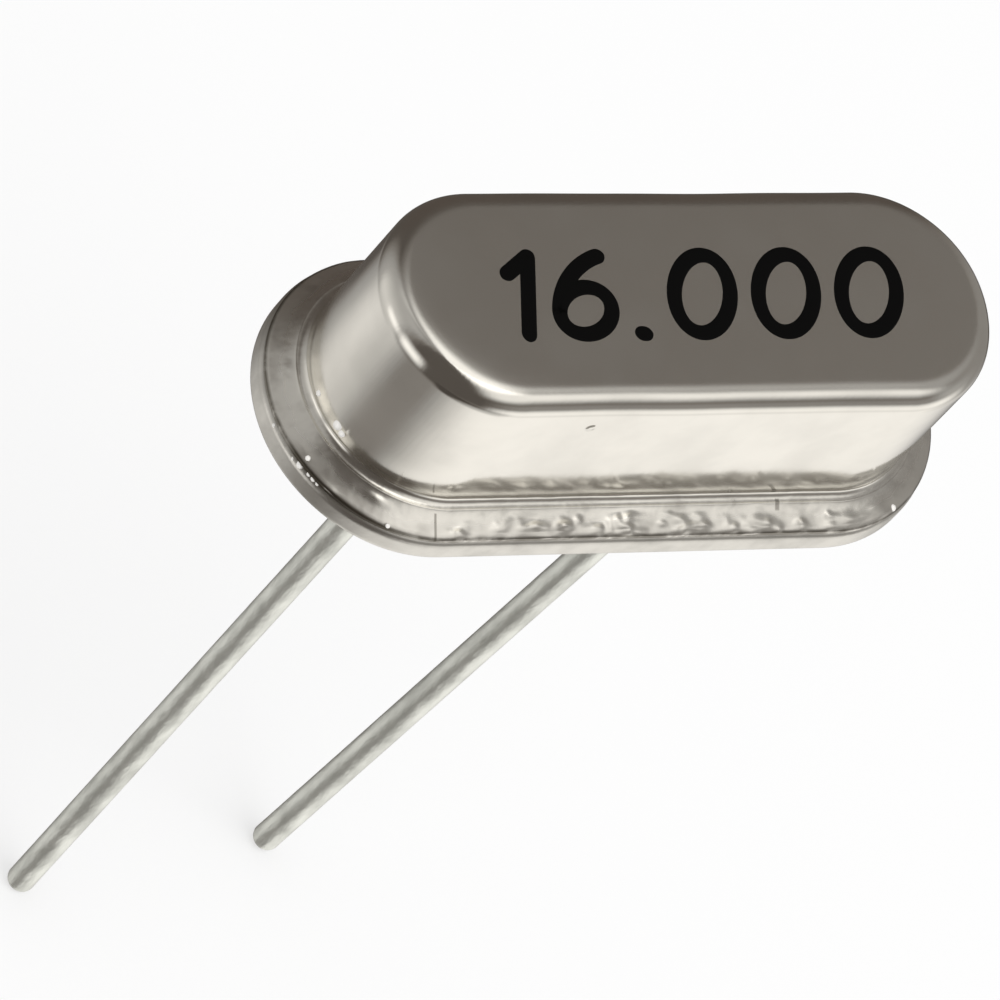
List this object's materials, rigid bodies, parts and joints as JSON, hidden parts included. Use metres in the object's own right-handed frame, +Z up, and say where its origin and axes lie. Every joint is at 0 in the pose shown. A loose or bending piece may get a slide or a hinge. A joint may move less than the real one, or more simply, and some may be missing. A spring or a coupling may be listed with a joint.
{
  "type": "crystal oscillator",
  "caption": "Low-profile quartz crystal unit: a long oval drawn metal can welded to a flanged metal base, with round wire leads below it for a circuit board.",
  "frame": {"origin": "centre of the board seat, the flat underside of the base's rim, midway between the leads", "axes": "+X along the can's length, +Y across it, +Z up from the board to the can's top; the leads run down -Z"},
  "size_m": [0.011, 0.0046, 0.0183],
  "materials": {
    "can_metal": "satin",
    "base_metal": "satin",
    "lead_metal": "satin",
    "clip_metal": "satin",
    "seal_glass": "gloss",
    "quartz": "gloss",
    "silver_film": "polished",
    "conductive_glue": "matte",
    "ink": "satin"
  },
  "bodies": {
    "root": {"can": "can_metal", "base_shell": "base_metal", "glass_seal_left": "seal_glass", "glass_seal_right": "seal_glass", "lead_left": "lead_metal", "lead_right": "lead_metal", "clip_left": "clip_metal", "clip_right": "clip_metal", "quartz_blank": "quartz", "electrode_top": "silver_film", "electrode_bottom": "silver_film", "adhesive_left_front": "conductive_glue", "adhesive_left_back": "conductive_glue", "adhesive_right_front": "conductive_glue", "adhesive_right_back": "conductive_glue"}
  },
  "joints": []
}
